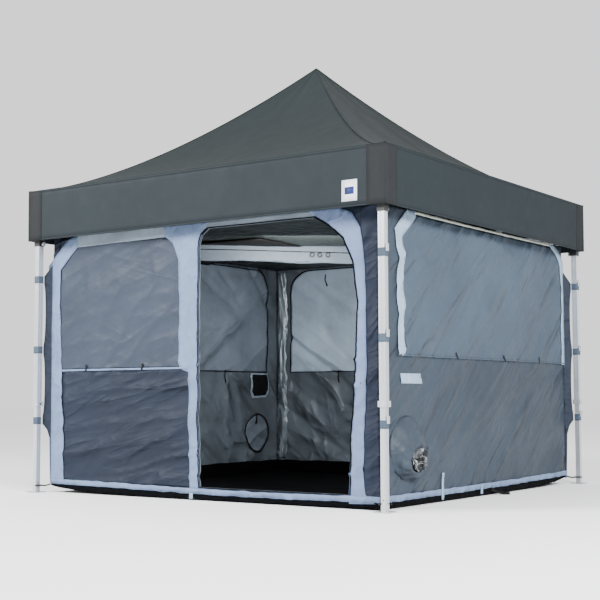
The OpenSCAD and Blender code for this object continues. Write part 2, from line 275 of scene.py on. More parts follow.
rubber_cord = surface(
    "rubber cord", (14, 14, 15), 0.6, spread=0.3, scale=90, bumps=[(800.0, (1, 1, 1), 0.0003)],
)
label_white = surface(
    "label white", (205, 207, 212), 0.5, spread=0.02, scale=20, bumps=[(600.0, (1, 1, 1), 0.0002)],
)
label_blue = surface("label blue", (34, 46, 92), 0.5, spread=0.06, scale=20, bumps=[(600.0, (1, 1, 1), 0.0002)])


# Helpers
def add_object(name, data):
    ob = bpy.data.objects.new(name, data)
    bpy.context.scene.collection.objects.link(ob)
    return ob


def finish_mesh(name, me, mat):
    me.polygons.foreach_set("use_smooth", [True] * len(me.polygons))
    me.materials.append(mat)
    return add_object(name, me)


def obj_from(name, verts, faces, mat):
    me = bpy.data.meshes.new(name)
    me.from_pydata(verts, [], faces)
    me.update()
    return finish_mesh(name, me, mat)


def spin(p, k):
    x, y, z = p
    for _ in range(k % 4):
        x, y = -y, x
    return Vector((x, y, z))


def nz(x, y, z=0.0):
    return noise.noise(Vector((x, y, z)))


def fold(across, along, seed, sharp=3):
    """A crease pattern from 0 to 1: narrow ridges that run along, wandering a little."""
    r = 1 - abs(noise.noise(Vector((across + 0.25 * nz(along * 2, seed), along, seed)))) * 2
    return max(0.0, r) ** sharp


def wrinkle(k, u, v):
    """How far wall k stands out of its plane at u along it and v up: a belly, creases and puckered seams."""
    edge = max(0.0, min(1.0, (WALL - abs(u)) / 0.10))
    up = max(0.0, min(1.0, (1.84 - v) / 0.08))
    low = max(0.0, min(1.0, v / 0.08))
    w = 0.012 * math.sin(math.pi * (u + WALL) / (2 * WALL)) * math.sin(math.pi * v / 1.85)
    w += 0.010 * nz(u * 2.6, v * 0.9, 3.7 * k)
    upper = v > SEAM
    off_seam = min(1.0, abs(v - SEAM) / 0.12)
    if k == 0:
        w += (0.006 if upper else 0.015) * fold((v * 0.98 - u * 0.16) * 6.5, (u + v * 0.2) * 1.1, 9.1)
        fine = (0.004 if upper else 0.008) * (1 - off_seam * 0.5)
        w += fine * fold((v - u * 0.30) * 11.0, (u + v * 0.3) * 1.5, 21.7)
        w += (0.010 if upper else 0.004) * fold((u * 0.7 - v * 0.7) * 4.5, (u + v) * 1.2, 2.2)
    else:
        w += 0.018 * fold((u * 0.6 - v * 0.8) * 3.6, (v * 0.6 + u * 0.8) * 0.8, 9.1 + k)
        fine = 0.0055 if upper else 0.011
        w += fine * fold((u * 0.55 - v * 0.8) * 7.5, (v * 0.6 + u * 0.8) * 1.2, 33.0 + k)
        w += 0.006 * fold(v * 5.0 - u * 0.5, u * 0.9, 12.5 + k)
    w += 0.009 * nz(u * 8.0, v * 2.5, 5.5 + k) * math.exp(-v / 0.2)
    w += 0.007 * nz(u * 14.0, v * 3.0, 1.5 + k) * math.exp(-abs(v - 0.88) / 0.10)
    return w * edge * up * low


def on_wall(k, u, v, lift):
    return spin((u, -(WALL + wrinkle(k, u, v) + lift), v), k)


def between(a, b, step):
    """Points from a up to, but not at, b."""
    n = max(1, round(math.dist(a, b) / step))
    return [(a[0] + (b[0] - a[0]) * i / n, a[1] + (b[1] - a[1]) * i / n) for i in range(n)]


def sides_of(loop):
    return zip(loop, loop[1:] + loop[:1])


def length_of(loop):
    return sum(math.dist(a, b) for a, b in sides_of(loop))


def area_of(loop):
    return abs(sum(a[0] * b[1] - b[0] * a[1] for a, b in sides_of(loop))) / 2


def inside(p, loop):
    hit = False
    x, y = p
    for (x0, y0), (x1, y1) in sides_of(loop):
        if (y0 > y) != (y1 > y) and x < (x1 - x0) * (y - y0) / (y1 - y0) + x0:
            hit = not hit
    return hit


def fill(outline, holes=(), step=0.035):
    """Triangles that fill an outline with holes, with an even grid of points inside."""
    loops = [[p for a, b in sides_of(l) for p in between(a, b, step)] for l in (outline, *holes)]
    pts, edges = [], []
    for l in loops:
        start = len(pts)
        pts += l
        edges += [(start + i, start + (i + 1) % len(l)) for i in range(len(l))]
    xs = [p[0] for p in loops[0]]
    ys = [p[1] for p in loops[0]]
    rim = {}
    for p in pts:
        rim.setdefault((round(p[0] / step), round(p[1] / step)), []).append(p)
    for i in range(int((max(xs) - min(xs)) / step) + 1):
        for j in range(int((max(ys) - min(ys)) / step) + 1):
            p = (min(xs) + (i + 0.5 + 0.5 * (j % 2)) * step, min(ys) + (j + 0.5) * step)
            cell = (round(p[0] / step), round(p[1] / step))
            near = [q for a in (-1, 0, 1) for b in (-1, 0, 1) for q in rim.get((cell[0] + a, cell[1] + b), ())]
            if any(math.dist(p, q) < 0.5 * step for q in near):
                continue
            if inside(p, loops[0]) and not any(inside(p, h) for h in loops[1:]):
                pts.append(p)
    v, _, f, *_ = delaunay_2d_cdt([Vector(p) for p in pts], edges, [], 1, 1e-6)
    mid = [(sum(v[i].x for i in t) / 3, sum(v[i].y for i in t) / 3) for t in f]
    f = [list(t) for t, p in zip(f, mid) if not any(inside(p, h) for h in loops[1:])]
    return [tuple(p) for p in v], f


def grid_faces(rows, across, closed=False):
    """Quads of a grid of points laid out row by row; closed joins each row's ends."""
    last = across if closed else across - 1
    quads = [(j * across + i, j * across + (i + 1) % across) for j in range(rows - 1) for i in range(last)]
    return [[a, b, b + across, a + across] for a, b in quads]


def solid(ob, thick):
    mod = ob.modifiers.new("thickness", "SOLIDIFY")
    mod.thickness = thick
    mod.offset = 0


def follow(ob, foot, roof):
    """Cloth on the frame centre follows the four legs as they move in, each point by its place between them.
    The tent is pushed down along the middle of its sides by the lower hubs, and stays up at the corners.
    With foot its lowest part follows the inner legs, and with roof its top follows the peak pole."""
    pts = [v.co.copy() for v in ob.data.vertices]
    legs = {c: [] for c in CORNERS}
    hubs = {name: [0.0] * len(pts) for name in ("lower_hub", *(s + "_lower_middle_hub" for s in SIDES))}
    for n, p in enumerate(pts):
        x, y = max(-1.0, min(1.0, p.x / WALL)), max(-1.0, min(1.0, p.y / WALL))
        far, near = max(abs(x), abs(y)), min(abs(x), abs(y))
        push = 0.0
        if p.z < 1.86 and max(abs(p.x), abs(p.y)) < 1.45:
            push = min(1.0, (1 - near) / 0.56) * min(1.0, max(0.0, p.z / 1.80))
        hubs["lower_hub"][n] = push * (1 - far)
        if abs(x) > abs(y):
            hubs[("right" if x > 0 else "left") + "_lower_middle_hub"][n] = push * far
            x *= 1 - push
        else:
            hubs[("back" if y > 0 else "front") + "_lower_middle_hub"][n] = push * far
            y *= 1 - push
        for c, (sx, sy) in zip(CORNERS, CORNER_SIGNS):
            legs[c].append((1 + sx * x) / 2 * (1 + sy * y) / 2)

    def hook(body, weights):
        if max(weights) < 0.002:
            return
        group = ob.vertex_groups.new(name=body)
        for i, w in enumerate(weights):
            if w > 0:
                group.add([i], w, "REPLACE")
        mod = ob.modifiers.new("follow " + body, "HOOK")
        mod.object = bodies[body]
        mod.vertex_group = group.name
        mod.falloff_type = "NONE"
        mod.strength = 1.0
        mod.matrix_inverse = Matrix.Identity(4)

    for c in CORNERS:
        low = [max(0.0, min(1.0, (0.51 - p[2]) / 0.45)) if foot else 0.0 for p in pts]
        hook(c + "_outer_leg", [b * (1 - w) for b, w in zip(legs[c], low)])
        if foot:
            hook(c + "_inner_leg", [b * w for b, w in zip(legs[c], low)])
    for name, weights in hubs.items():
        hook(name, weights)
    if roof:
        hook("peak_pole", [max(0.0, (p[2] - EAVE) / (PEAK - EAVE)) for p in pts])


def cloth_piece(name, verts, faces, mat, foot=True, roof=False, thick=CLOTH):
    ob = obj_from(name, verts, faces, mat)
    follow(ob, foot, roof)
    solid(ob, thick)
    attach(ob, ROOT)
    return ob


def wall_panel(name, k, outline, mat, lift, holes=(), step=0.035):
    """A panel cut to an outline of (u, v) points on wall k."""
    v, f = fill(outline, holes, step)
    pts = [on_wall(k, a, b, lift) for a, b in v]
    cloth_piece(name, pts, f, mat)


def strip_loop(line, width, wobble=0.0, seed=0.0):
    """Outline of a band along a line of (u, v) points, with edges that wander by the wobble."""
    if wobble:
        line = [p for a, b in zip(line, line[1:]) for p in between(a, b, 0.03)] + [line[-1]]
    n = len(line)
    left, right = [], []
    for i, p in enumerate(line):
        a, b = line[max(0, i - 1)], line[min(n - 1, i + 1)]
        d = math.dist(a, b) or 1
        nx, ny = -(b[1] - a[1]) / d, (b[0] - a[0]) / d
        l = width / 2 + wobble * nz(i * 0.35, seed, 1.0)
        r = width / 2 + wobble * nz(i * 0.35, seed, 8.0)
        left.append((p[0] + nx * l, p[1] + ny * l))
        right.append((p[0] - nx * r, p[1] - ny * r))
    return left + right[::-1]


def joined(name, k, outlines, mat, lift, step=0.022):
    """Several bands on one wall as one sewn piece; their total length and area are worked out but not used."""
    verts, faces, area, long = [], [], 0.0, 0.0
    for o in outlines:
        v, f = fill(o, (), step)
        start = len(verts)
        verts += [on_wall(k, a, b, lift) for a, b in v]
        faces += [[i + start for i in t] for t in f]
        edge = length_of(o)
        area += area_of(o)
        long += (edge + math.sqrt(max(0.0, edge * edge - 16 * area_of(o)))) / 4
    cloth_piece(name, verts, faces, mat)


def ring_piece(name, k, outer, inner, mat, lift, step=0.02):
    """A narrow closed binding between two outlines on one wall."""
    v, f = fill(outer, [inner], step)
    cloth_piece(name, [on_wall(k, a, b, lift) for a, b in v], f, mat)


def arc(cx, cy, rx, ry, a0, a1, n=8):
    return [
        (
            cx + rx * math.cos(math.radians(a0 + (a1 - a0) * i / n)),
            cy + ry * math.sin(math.radians(a0 + (a1 - a0) * i / n)),
        )
        for i in range(n + 1)
    ]


def block(name, low, high, mat, body, bevel, k):
    """A small rounded hardware piece between two corners, turned with corner k."""
    bm = bmesh.new()
    bmesh.ops.create_cube(bm, size=1.0)
    for v in bm.verts:
        v.co = Vector([(low[i] + high[i]) / 2 + v.co[i] * (high[i] - low[i]) for i in range(3)])
    bmesh.ops.bevel(bm, geom=bm.edges[:], offset=bevel, segments=3, profile=0.5, affect="EDGES")
    for v in bm.verts:
        v.co = spin(v.co, k)
    me = bpy.data.meshes.new(name)
    bm.to_mesh(me)
    bm.free()
    ob = finish_mesh(name, me, mat)
    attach(ob, body)


def tube(name, pts, radius, mat, body, closed=False):
    cu = bpy.data.curves.new(name, "CURVE")
    cu.dimensions = "3D"
    cu.bevel_depth = radius
    cu.bevel_resolution = 3
    sp = cu.splines.new("POLY")
    sp.points.add(len(pts) - 1)
    for q, p in zip(sp.points, pts):
        q.co = (*p, 1)
    sp.use_cyclic_u = closed
    cu.materials.append(mat)
    ob = add_object(name, cu)
    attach(ob, body)
    return ob


# Bungee cords from the tent's bottom corners to the feet, each with two hooks round the leg
for k, c in enumerate(CORNERS):
    a = spin((1.389, -1.389, 0.056), k)
    b = spin((1.434, -1.434, 0.046), k)
    pts = [a.lerp(b, i / 16) - Vector((0, 0, 0.005 * math.sin(math.pi * i / 16))) for i in range(17)]
    cord = tube(c + "_bungee", pts, 0.005, rubber_cord, c + "_inner_leg")
    for n, (x, y) in enumerate([(1, 0), (0, 1)]):
        line = [
            (1.430, -1.430, 0.046),
            (1.430 + 0.004 * x, -1.430 - 0.004 * y, 0.046),
            (1.434 + 0.050 * x, -1.434 - 0.050 * y, 0.048),
            (1.434 + 0.054 * x + 0.010 * y, -1.434 - 0.054 * y - 0.010 * x, 0.049),
        ]
        tube(f"{c}_bungee_hook_{n + 1}", [spin(p, k) for p in line], 0.0055, black_plastic, c + "_inner_leg")

# Frame finishes
for n, ob in nodes.items():
    ob.data.materials.clear()
    plastic = ("hub" in n) or ("slider" in n and "edge" not in n) or "button" in n
    ob.data.materials.append(grey_plastic if "pull_pin" in n else black_plastic if plastic else aluminium)


# Roof
def roof_point(k, s, u, lift=0.0):
    """Gore k at the share s out from the peak and u from -1 to 1 across."""
    w = s * (EDGE - 0.001)
    sag = 0.045 * (1 - u * u) * math.sin(math.pi * min(1, s)) * (0.5 + s / 2)
    ripple = 0.006 * nz(u * 3 + k * 5, s * 2.2, 2.0) * (1 - s) * (1 - u * u) * 2
    z = EAVE + (PEAK - EAVE - 0.002) * (1 - s) ** 1.5 - sag + ripple + lift
    return spin((w * u, -w, z), k)


ROWS, ACROSS = 31, 29
HIP_ROWS = 41
for k, name in enumerate(SIDES):
    verts = []
    for j in range(ROWS):
        s = 0.004 + 0.996 * (j / (ROWS - 1)) ** 1.2
        verts += [roof_point(k, s, 2 * i / (ACROSS - 1) - 1) for i in range(ACROSS)]
    faces = grid_faces(ROWS, ACROSS)
    cloth_piece(name + "_roof_gore", verts, faces, roof_cloth, foot=False, roof=True)
    hem = [
        spin((-0.010, 0, 0), k) + Vector((0, 0, 0.001)), Vector(),
        spin((0, 0.010, 0), k) + Vector((0, 0, 0.001)),
    ]
    hip = [roof_point(k, 0.004 + 0.996 * j / (HIP_ROWS - 1), 1.0, 0.002) for j in range(HIP_ROWS)]
    verts, faces = [p + h for p in hip for h in hem], grid_faces(HIP_ROWS, 3)
    cloth_piece(name + "_hip_seam", verts, faces, roof_cloth, foot=False, roof=True)


# Valance
def valance_point(k, u, z, lift=0.0):
    drop = (EAVE - z) / (EAVE - VALANCE_FOOT)
    wave = 0.006 * nz(u * 2.4, 4.4 + k, drop) * drop - 0.003 * drop
    return spin((u, -(EDGE - 0.0035 + wave + lift), z), k)


def valance_part(name, k, u0, u1, z0, z1, mat, lift=0.0, thick=CLOTH):
    """A strip of the valance from u0 to u1 along it and from z0 to z1 up."""
    nu, nv = max(2, round((u1 - u0) / 0.04)), max(2, round((z1 - z0) / 0.04))
    us = [u0 + (u1 - u0) * i / nu for i in range(nu + 1)]
    verts = [valance_point(k, u, z0 + (z1 - z0) * j / nv, lift) for j in range(nv + 1) for u in us]
    cloth_piece(name, verts, grid_faces(nv + 1, nu + 1), mat, foot=False, thick=thick)


for k, name in enumerate(SIDES):
    e = EDGE - 0.003
    valance_part(name + "_valance", k, -e, e, VALANCE_FOOT, 2.1755, valance_cloth)
    valance_part(
        name + "_valance_patch_a", k, -e - 0.001, -e + 0.135, VALANCE_FOOT, 2.1765, patch_cloth, 0.0016,
    )
    valance_part(name + "_valance_patch_b", k, e - 0.135, e + 0.001, VALANCE_FOOT, 2.1765, patch_cloth, 0.0016)
    valance_part(name + "_valance_hem", k, -e, e, VALANCE_FOOT, 1.822, valance_cloth, 0.0012)
    valance_part(name + "_eave_binding", k, -e, e, 2.160, 2.1765, valance_cloth, 0.0010)
for n, u in enumerate([-1.455, -1.37, -1.22, -1.13]):
    valance_part(f"front_valance_tab_{n + 1}", 0, u, u + 0.035, 1.806, 1.816, mesh_cloth, 0.002)
valance_part("front_label", 0, 1.208, 1.318, 1.846, 1.976, label_white, 0.0034, 0.0008)
valance_part("front_label_mark", 0, 1.230, 1.296, 1.888, 1.932, label_blue, 0.0044, 0.0006)


# Front wall
DOOR = [
    (0.0, 0.085), (1.17, 0.085), (1.19, 0.5), (1.225, 1.0), (1.235, 1.24), (1.20, 1.50), (1.134, 1.642),
    (1.03, 1.73), (0.921, 1.79), (0.07, 1.79), (0.02, 1.75), (0.0, 1.69),
]
WALL_OUTLINE = [(-1.38, 0.055), (1.38, 0.055), (1.38, 1.842), (-1.38, 1.842)]
wall_panel("front_wall_cloth", 0, WALL_OUTLINE, wall_cloth, 0.0, [DOOR], step=0.03)
wall_panel(
    "front_corner_panel", 0, [(1.26, 0.07), (1.384, 0.07), (1.384, 1.84), (1.26, 1.84)], corner_cloth, PANEL,
    step=0.022,
)
wall_panel(
    "front_left_corner_panel", 0, [(-1.384, 0.07), (-1.32, 0.07), (-1.32, 1.84), (-1.384, 1.84)], corner_cloth,
    PANEL, step=0.022,
)
WIN = [(-1.305, 0.878), (-0.165, 0.878), (-0.165, 1.50)] + arc(-0.30, 1.56, 0.13, 0.20, -10, 80, 8) + [
    (-1.142, 1.760), (-1.305, 1.598),
]
wall_panel("front_window", 0, WIN, window_cloth, PANEL, step=0.017)
LOWER = [(-1.25, 0.085), (-0.08, 0.085), (-0.08, 0.862), (-1.262, 0.862)]
wall_panel("front_lower_panel", 0, LOWER, wall_cloth, PANEL, step=0.017)
left_trim = [
    (-1.395, 0.075), (-1.250, 0.075), (-1.262, 0.5), (-1.285, 0.9), (-1.308, 1.30), (-1.311, 1.598),
    (-1.142, 1.752), (-1.142, 1.84), (-1.236, 1.816), (-1.432, 1.635), (-1.428, 1.2), (-1.415, 0.7),
]
mid_trim = [
    (-0.082, 0.075), (0.0, 0.075), (0.0, 0.86), (0.0, 1.69), (0.03, 1.77), (0.07, 1.84), (-0.32, 1.84),
    (-0.31, 1.765), (-0.235, 1.72), (-0.178, 1.60), (-0.168, 1.40), (-0.170, 0.90), (-0.150, 0.865),
    (-0.085, 0.84),
]
right_trim = [
    (1.165, 0.075), (1.165, 0.030), (1.35, 0.036), (1.285, 0.090), (1.272, 0.20), (1.285, 0.5), (1.300, 0.9),
    (1.300, 1.24), (1.285, 1.52), (1.262, 1.70), (1.20, 1.80), (1.10, 1.84), (0.88, 1.84), (0.921, 1.79),
    (1.03, 1.73), (1.134, 1.642), (1.20, 1.50), (1.235, 1.24), (1.225, 1.0), (1.19, 0.5),
]
top_band = [(-1.16, 1.752), (-0.30, 1.762), (-0.30, 1.84), (-1.16, 1.84)]
joined("front_trims", 0, [left_trim, mid_trim], trim_cloth, TRIM)
joined("front_door_trim", 0, [right_trim], pale_cloth, TRIM)
joined(
    "front_top_band", 0, [top_band, [(-0.02, 1.79), (1.0, 1.79), (1.0, 1.84), (-0.02, 1.84)]], band_cloth,
    0.0076,
)
joined(
    "front_seam", 0, [[(-1.28, 0.862), (-0.09, 0.862), (-0.09, 0.876), (-1.28, 0.876)]], trim_cloth, 0.0108,
    step=0.02,
)
hem_line = [(-1.39, 0.077), (-0.7, 0.070), (-0.07, 0.058), (0.6, 0.055), (1.17, 0.060), (1.385, 0.062)]
joined("front_bottom_band", 0, [strip_loop(hem_line, 0.036, 0.006)], trim_cloth, 0.0116, step=0.02)

# Side walls and back wall
PORT = (-1.08, 0.36)


def port_ring(radius):
    return arc(*PORT, radius, radius, 0, 352.5, 47)


for k, name in ((1, "right"), (2, "back"), (3, "left")):
    holes = [port_ring(0.150)] if k == 1 else []
    upper, lower = (back_cloth, back_low) if k == 2 else (side_cloth, side_low)
    step = 0.018 if k == 1 else 0.035
    wall_panel(name + "_wall_cloth", k, WALL_OUTLINE, lower, 0.0, holes, step)
    win = [
        (-1.10, 0.93), (1.325, 0.93), (1.325, 1.68), (1.26, 1.76), (1.16, 1.815), (-0.95, 1.818), (-1.12, 1.66),
    ]
    wall_panel(name + "_window", k, win, upper, PANEL, step=step)
    near = [
        (-1.195, 0.925), (-1.118, 0.925), (-1.115, 1.30), (-1.105, 1.52), (-1.120, 1.66), (-0.95, 1.80),
        (-0.93, 1.842), (-1.05, 1.842), (-1.215, 1.705), (-1.185, 1.50), (-1.20, 1.2),
    ]
    far = [
        (1.325, 0.915), (1.384, 0.915), (1.386, 1.72), (1.31, 1.80), (1.22, 1.842), (1.12, 1.842),
        (1.16, 1.812), (1.26, 1.76), (1.325, 1.68),
    ]
    joined(name + "_window_trims", k, [near, far], side_trim_cloth, TRIM)
    joined(
        name + "_window_top_trim", k,
        [strip_loop([(-0.95, 1.833), (-0.3, 1.829), (0.4, 1.829), (1.14, 1.833)], 0.018, 0.003, k)],
        cream_cloth, 0.0100, step=0.02,
    )
    joined(
        name + "_seam", k, [[(-1.21, 0.922), (1.38, 0.922), (1.38, 0.934), (-1.21, 0.934)]], side_cloth, TRIM,
        step=0.02,
    )
    hem_line = [(-1.39, 0.060), (-0.6, 0.062), (0.2, 0.066), (1.0, 0.076), (1.385, 0.082)]
    joined(name + "_bottom_band", k, [strip_loop(hem_line, 0.038, 0.006, k)], trim_cloth, TRIM, step=0.02)

# Tub skirt, pulled up at some corners more than at others
CORNER_LIFT = [0.004, 0.050, 0.030, 0.042]
for k, name in enumerate(SIDES):
    loop = [(-1.385 + 2.77 * i / 60, 0.068) for i in range(61)]
    for i in range(61):
        u = 1.385 - 2.77 * i / 60
        lifted = CORNER_LIFT[(k - (u < 0)) % 4] * (abs(u) / 1.385) ** 5
        loop.append((u, 0.004 + 0.006 * abs(nz(i * 0.22, k * 3.0)) + lifted))
    joined(name + "_tub_skirt", k, [loop], skirt_cloth, PANEL)

# Lining
for k, name in enumerate(SIDES):
    holes = [DOOR] if k == 0 else [port_ring(0.150)] if k == 1 else []
    box_in = [(-1.372, 0.070), (1.372, 0.070), (1.372, 1.822), (-1.372, 1.822)]
    wall_panel(name + "_lining", k, box_in, lining_low, LINING, holes, step=0.025 if k > 1 else 0.035)
    if k == 0:
        continue
    if k == 2:
        win = [(-1.22, 0.90), (1.22, 0.90), (1.22, 1.50)]
        win += arc(1.02, 1.60, 0.20, 0.20, 0, 90) + [(-1.02, 1.80)] + arc(-1.02, 1.60, 0.20, 0.20, 90, 180)[1:]
    else:
        win = [(-1.10, 0.90), (1.22, 0.90), (1.22, 1.52)]
        win += arc(1.05, 1.60, 0.17, 0.20, 0, 90) + [(-0.93, 1.80), (-1.10, 1.66)]
    if k == 3:
        win = [(-u, v) for u, v in win[::-1]]
    wall_panel(name + "_window_lining", k, win, lining_light if k == 2 else lining_cloth, -0.0140, step=0.02)
    outer = [(u + (0.010 if u > 0 else -0.010), v + (0.008 if v > 1.5 else -0.006)) for u, v in win]
    ring_piece(name + "_window_piping", k, outer, win, skirt_cloth, -0.0180)

# Header band under the ceiling, with its piping, hooks and a gather below it
ALONG = [-1.0 + 2.3 * i / 46 for i in range(47)]


def on_header(t, v, lift):
    """A point of the band that crosses the ceiling on its diagonal, at t along it and v down."""
    w = 0.012 * nz(t * 3.0, v * 2.0, 4.0) + 0.006 * math.sin(t * 9)
    return Vector((t + (w + lift) * 0.707, t - (w + lift) * 0.707, 1.824 - v))


verts = [on_header(t, 0.135 * j / 6 * (1 + 0.10 * nz(t * 5, 7.7)), 0.0) for j in range(7) for t in ALONG]
cloth_piece("ceiling_header_band", verts, grid_faces(7, len(ALONG)), header_cloth, foot=False)
verts = [on_header(t, 0.052 + 0.006 * j + 0.006 * math.sin(t * 3), 0.004) for j in range(2) for t in ALONG]
faces = grid_faces(2, len(ALONG))
cloth_piece("ceiling_header_piping", verts, faces, mesh_cloth, foot=False)

for n, t in enumerate([-0.03, 0.01, 0.055]):
    at = on_header(t, 0.062, 0.008)
    ring = []
    for a in [math.radians(30 * q) for q in range(12)]:
        across = 0.011 * math.sin(a)
        ring.append(at + Vector((0.006 + across, across - 0.006, -0.016 - 0.016 * math.cos(a))))
    tube(f"ceiling_hook_{n + 1}", ring, 0.004, black_plastic, ROOT, closed=True)
verts = []
for j in range(5):
    for i in range(31):
        t = -1.0 + 0.95 * i / 30
        v = 0.128 + (0.046 * j / 4) * max(0.12, 1 - i / 32) * (1 + 0.9 * nz(t * 16, 3.1))
        verts.append(on_header(t, v, -0.004 - 0.03 * nz(t * 11, j * 0.8)))
cloth_piece(
    "ceiling_band_gather", verts, grid_faces(5, 31), skirt_cloth, foot=False,
)

# Ceiling and floor
plan, tiles = fill([(-ROOM, -ROOM), (ROOM, -ROOM), (ROOM, ROOM), (-ROOM, ROOM)], (), 0.06)
verts = []
for a, b in plan:
    sag = 0.012 * (1 - abs(a) / ROOM) * (1 - abs(b) / ROOM)
    verts.append((a, b, CEILING - sag + 0.004 * nz(a * 4, b * 4)))
cloth_piece("tent_ceiling_cloth", verts, tiles, ceiling_cloth, foot=False)
v, f = fill([(-0.72, -0.70), (-0.05, -0.66), (-0.08, -0.08), (-0.64, -0.12)], (), 0.06)
verts = [(a, b, 1.808 + 0.004 * nz(a * 6, b * 6)) for a, b in v]
cloth_piece("ceiling_vent_mesh", verts, f, mesh_cloth, foot=False)
verts = []
for a, b in plan:
    corner = (a < 0) * (2 if b > 0 else 3) + (a > 0) * (b > 0)
    lifted = CORNER_LIFT[corner] * abs(a * b / ROOM**2) ** 6
    verts.append((a, b, 0.005 + 0.006 * max(0, nz(a * 3, b * 3)) + lifted))
cloth_piece("tent_floor_cloth", verts, tiles, floor_cloth)

# Floor upstand inside the walls
for k, name in enumerate(SIDES):
    us = [-ROOM + 2 * ROOM * i / 50 for i in range(51)]
    top = 0.080 if k == 0 else 0.115
    loop = [(u, 0.003 + CORNER_LIFT[(k - (u < 0)) % 4] * (abs(u) / ROOM) ** 6) for u in us]
    loop += [(ROOM - 2 * ROOM * i / 50, top + 0.012 * nz(i * 0.3, k * 2.0)) for i in range(51)]
    joined(name + "_floor_upstand", k, [loop], floor_cloth, -0.0145)

# Crumpled lining down the far corner; its pale colour and vertical streaks are painted highlights and glints
joined(
    "back_lining_corner_highlight", 2,
    [strip_loop([(1.315, 0.13), (1.305, 0.6), (1.320, 1.0), (1.305, 1.4), (1.315, 1.80)], 0.085, 0.018, 3.0)],
    lining_highlight_strip, -0.0185, step=0.018,
)

# Pocket and closed port on the inside of the left wall, and ties on the lining
joined(
    "left_pocket_trim", 3,
    [[(-1.245, 0.885), (-1.245, 0.73), (-1.215, 0.675), (-1.02, 0.665), (-0.985, 0.72), (-0.98, 0.885)]],
    lining_light, ON_LINING, step=0.015,
)
joined(
    "left_pocket_mesh", 3,
    [[(-1.225, 0.875), (-1.225, 0.74), (-1.20, 0.692), (-1.035, 0.685), (-1.005, 0.725), (-1.0, 0.875)]],
    mesh_cloth, LINING_TRIM, step=0.015,
)
outer = [
    (u + 0.004 * nz(i * 0.8, 1.0), v + 0.004 * nz(i * 0.8, 5.0)) for i, (u, v) in enumerate(port_ring(0.172))
]
ring_piece("left_port_zip", 3, outer, port_ring(0.158), mesh_cloth, LINING_TRIM, 0.015)
joined("left_port_cover", 3, [port_ring(0.157)], lining_cloth, ON_LINING, step=0.015)
joined(
    "left_port_tab", 3, [[(-1.066, 0.44), (-1.046, 0.44), (-1.046, 0.515), (-1.066, 0.515)]], mesh_cloth,
    -0.0215, step=0.02,
)
for n, (k, u, z) in enumerate([(3, -0.62, 0.885), (2, 0.72, 0.885), (2, 0.84, 1.74)]):
    joined(
        f"lining_tie_{n + 1}", k,
        [strip_loop([(u, z + 0.02), (u + 0.012, z - 0.03), (u - 0.008, z - 0.085)], 0.012)], mesh_cloth,
        -0.0200, step=0.02,
    )


# Port sleeve on the right wall
def sleeve(name, steps, mat, thick):
    """Rings round the port from (out, radius across, radius up, drop, crumple) steps; depth is the cut's."""
    verts, m = [], 48
    for j, (out, ra, ru, drop, rough) in enumerate(steps):
        for i in range(m):
            a = 2 * math.pi * i / m
            r = 1 + rough * nz(math.cos(a) * 2.6, math.sin(a) * 2.6, j * 0.45) * 2
            y = PORT[0] + drop * 0.25 + ra * r * math.cos(a)
            z = PORT[1] - drop + ru * r * math.sin(a)
            verts.append((WALL + out + 0.01 * rough * 8 * nz(a * 2, j * 0.7), y, z))
    cloth_piece(
        name, verts, grid_faces(len(steps), m, closed=True), mat, thick=thick,
    )


sleeve(
    "right_port_sleeve",
    [
        (0.008, 0.205, 0.196, 0, 0.01), (0.016, 0.192, 0.188, 0.002, 0.02), (0.034, 0.176, 0.174, 0.010, 0.04),
        (0.056, 0.158, 0.154, 0.024, 0.07), (0.075, 0.138, 0.130, 0.042, 0.10),
        (0.087, 0.116, 0.102, 0.060, 0.13), (0.090, 0.094, 0.072, 0.076, 0.16),
    ],
    side_low, 0.0012,
)
sleeve(
    "right_port_lining",
    [
        (0.089, 0.094, 0.071, 0.076, 0.16), (0.084, 0.084, 0.058, 0.078, 0.28),
        (0.072, 0.070, 0.040, 0.076, 0.36), (0.062, 0.052, 0.026, 0.074, 0.42),
        (0.066, 0.034, 0.014, 0.072, 0.45), (0.058, 0.018, 0.006, 0.070, 0.45),
    ],
    silver_glint_cloth, 0.0010,
)

# Loops, labels and webbing
for n, u in enumerate([-1.03, -0.496]):
    joined(
        f"front_toggle_{n + 1}", 0, [strip_loop([(u, 0.905), (u + 0.006, 0.885), (u - 0.002, 0.862)], 0.014)],
        mesh_cloth, 0.0135, step=0.02,
    )
for n, u in enumerate([-0.453, 0.230, 0.837]):
    joined(
        f"right_toggle_{n + 1}", 1,
        [strip_loop([(u - 0.004, 0.962), (u + 0.006, 0.940), (u + 0.018, 0.918)], 0.012)], mesh_cloth,
        OVER_TRIM, step=0.02,
    )
joined(
    "right_care_label", 1, [[(-1.154, 0.754), (-0.907, 0.754), (-0.907, 0.817), (-1.154, 0.817)]],
    side_trim_cloth, 0.0040, step=0.02,
)
joined(
    "right_webbing_a", 1, [[(-0.648, 0.012), (-0.622, 0.012), (-0.622, 0.185), (-0.648, 0.185)]],
    side_trim_cloth, OVER_TRIM, step=0.02,
)
joined(
    "right_webbing_b", 1, [[(-0.095, 0.014), (-0.065, 0.014), (-0.060, 0.075), (-0.090, 0.075)]],
    side_trim_cloth, OVER_TRIM, step=0.02,
)
joined(
    "front_webbing", 0, [[(-0.085, 0.006), (-0.055, 0.006), (-0.055, 0.045), (-0.085, 0.045)]],
    side_trim_cloth, OVER_TRIM, step=0.02,
)
joined(
    "front_stake_loop", 0, [strip_loop([(-0.10, 0.016), (-0.07, 0.006), (-0.035, 0.012)], 0.010)], mesh_cloth,
    0.0105, step=0.02,
)
pts = []
for t in [i / 14 for i in range(15)]:
    pts.append(Vector((WALL + 0.012 + 0.075 * t + 0.02 * t * t, 0.06 + 0.10 * t, 0.006 + 0.030 * (1 - t) ** 2)))
